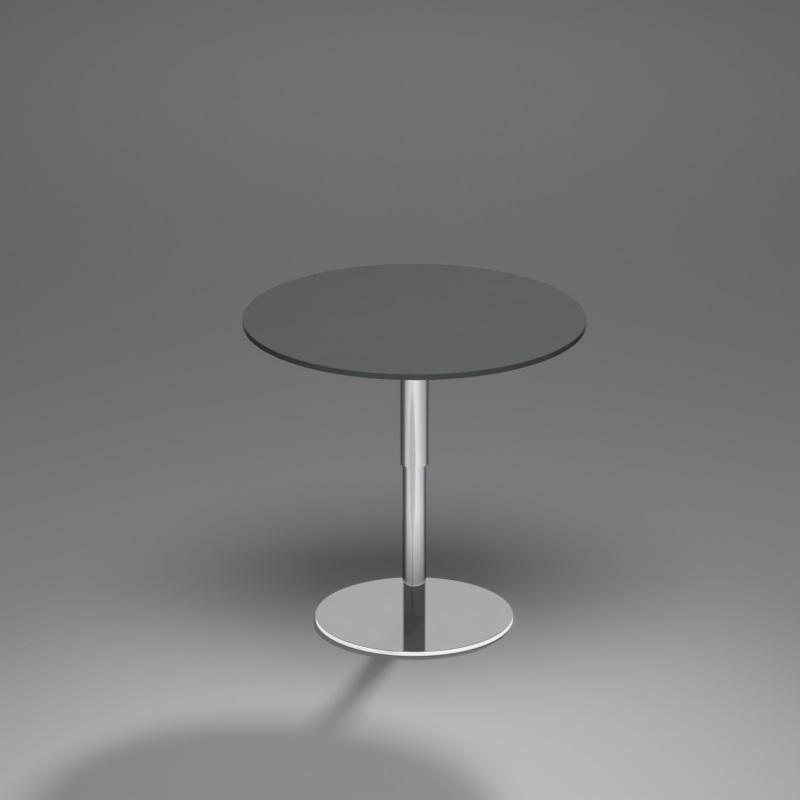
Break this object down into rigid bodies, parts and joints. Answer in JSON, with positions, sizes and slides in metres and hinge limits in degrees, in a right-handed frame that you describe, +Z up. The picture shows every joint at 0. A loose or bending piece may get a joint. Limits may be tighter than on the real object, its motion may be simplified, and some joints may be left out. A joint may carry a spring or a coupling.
{
  "type": "telescoping pedestal table",
  "caption": "Round table on a telescoping pedestal: the upper column tube slides over the lower on a flat round base, held by a lockable gas spring with a hand lever under the top.",
  "frame": {"origin": "on the floor, under the middle of the base", "axes": "+Z up the column; +X towards the hand lever under the top"},
  "size_m": [0.7, 0.7, 0.663],
  "materials": {
    "top_lacquer": "gloss",
    "tube_chrome": "polished",
    "base_polish": "polished",
    "black_coat": "satin",
    "zinc_steel": "satin",
    "bush_plastic": "matte",
    "glide_plastic": "matte",
    "grip_plastic": "satin",
    "seal_rubber": "matte",
    "turned_aluminium": "satin",
    "cylinder_paint": "gloss",
    "turned_brass": "satin"
  },
  "bodies": {
    "base": {"base_plate": "base_polish", "floor_glides": "glide_plastic", "base_screws": "zinc_steel", "foot_plug": "zinc_steel", "lower_tube": "tube_chrome", "upper_bush": "bush_plastic", "bearing_plug": "turned_aluminium", "swivel_washers": "turned_brass", "end_buffer": "seal_rubber"},
    "gas_spring": {"gas_cylinder": "cylinder_paint", "rod_guide": "turned_brass", "rod_seal": "seal_rubber", "ring_nuts": "zinc_steel", "centring_ring": "bush_plastic"},
    "top": {"table_top": "top_lacquer", "top_inserts": "turned_brass", "top_screws": "zinc_steel", "mounting_plate": "black_coat", "upper_tube": "tube_chrome", "lower_bush": "bush_plastic", "rod_seat": "turned_aluminium", "seat_spacers": "zinc_steel", "seat_screws": "zinc_steel", "piston_rod": "tube_chrome", "rod_nut": "zinc_steel", "piston": "turned_aluminium", "piston_seal": "seal_rubber", "lever_brackets": "zinc_steel", "bracket_screws": "zinc_steel", "pivot_pin": "zinc_steel", "pin_clip": "zinc_steel"},
    "lever": {"release_lever": "zinc_steel", "lever_grip": "grip_plastic"},
    "release_pin": {"release_pin": "zinc_steel"}
  },
  "joints": [
    {"name": "swivel", "type": "hinge", "parent": "base", "child": "gas_spring", "pos_m": [0, 0, 0.4735], "axis": [0, 0, 1], "continuous": true},
    {"name": "height", "type": "slide", "parent": "gas_spring", "child": "top", "axis": [0, 0, 1], "range_m": [-0.125, 0.055]},
    {"name": "lever_pivot", "type": "hinge", "parent": "top", "child": "lever", "pos_m": [0.046, 0, 0.6367], "axis": [0, -1, 0], "range_deg": [0, 3.11], "stiffness_Nm_per_rad": 8},
    {"name": "pin_press", "type": "slide", "parent": "top", "child": "release_pin", "axis": [0, 0, -1], "range_m": [0, 0.0025]}
  ],
  "couplings": [
    {"joint": "pin_press", "follows": "lever_pivot", "m_per_rad": 0.046}
  ]
}
